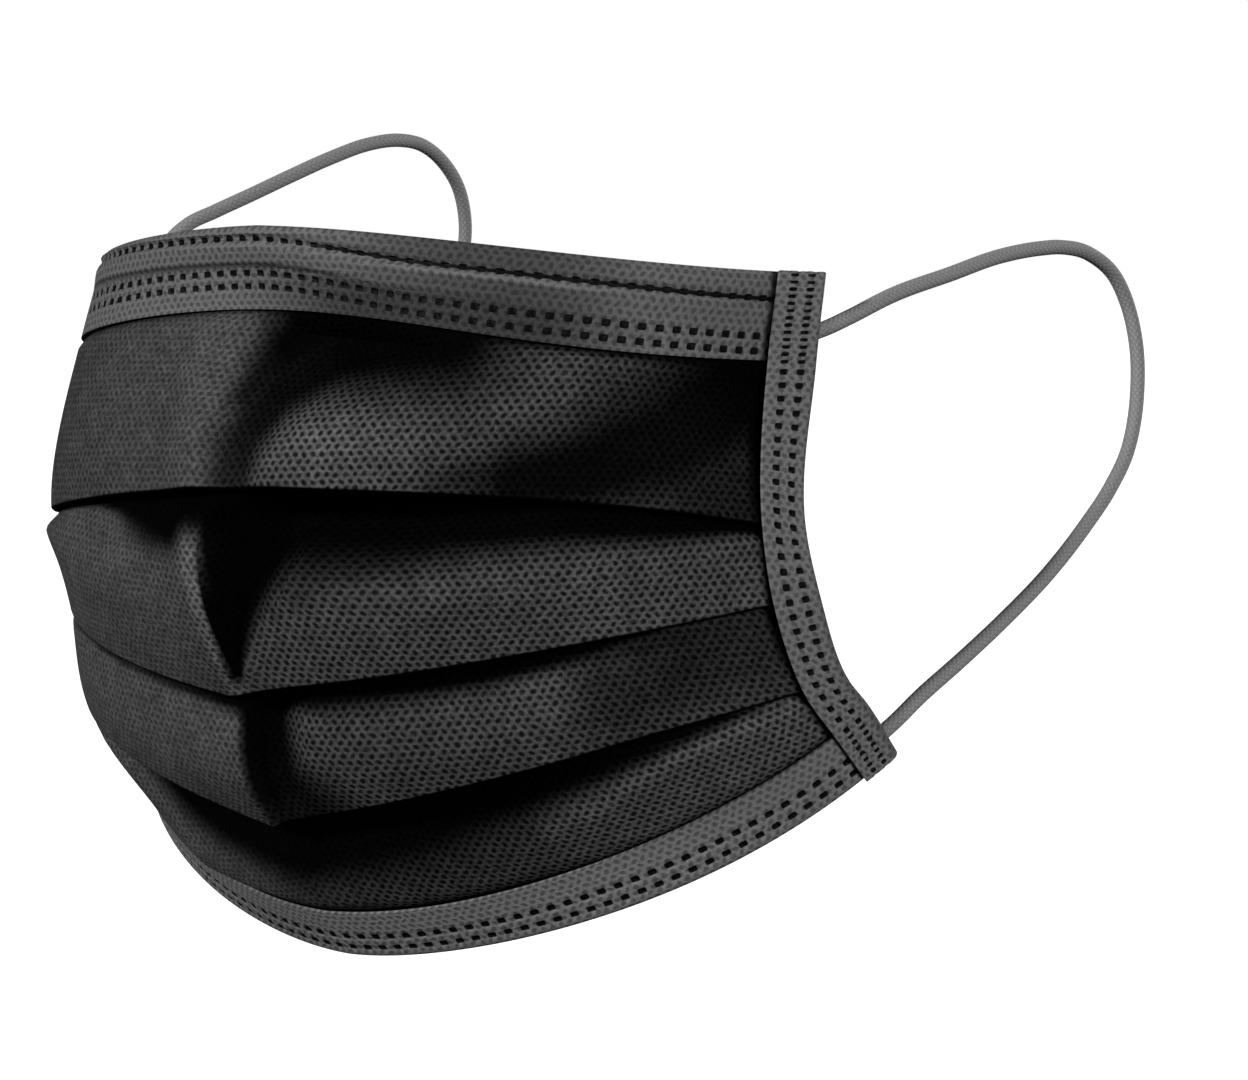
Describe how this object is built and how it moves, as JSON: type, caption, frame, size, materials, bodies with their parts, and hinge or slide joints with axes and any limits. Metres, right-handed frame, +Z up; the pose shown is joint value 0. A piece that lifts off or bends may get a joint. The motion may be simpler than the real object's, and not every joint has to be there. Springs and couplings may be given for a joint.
{
  "type": "pleated surgical face mask",
  "caption": "Pleated disposable face mask in its worn form, with folded-over bindings, a nose wire and an elastic loop for each ear.",
  "frame": {"origin": "centre of the inner face of the top binding, 5 mm under its upper edge, where the mask sits on the bridge of the nose", "axes": "+Z up, -Y the way the wearer looks, +X to the wearer's left"},
  "size_m": [0.1438, 0.1408, 0.1201],
  "materials": {
    "cloth": "embossed black non-woven cloth",
    "binding": "dark grey non-woven binding with black weld marks",
    "wire": "dull soft strip, hidden in the top binding",
    "elastic": "grey knitted round elastic"
  },
  "bodies": {
    "root": {"mask_body": "cloth", "top_binding": "binding", "bottom_binding": "binding", "side_binding_left": "binding", "side_binding_right": "binding", "nose_wire": "wire", "ear_loop_left": "elastic", "ear_loop_right": "elastic"}
  },
  "joints": []
}
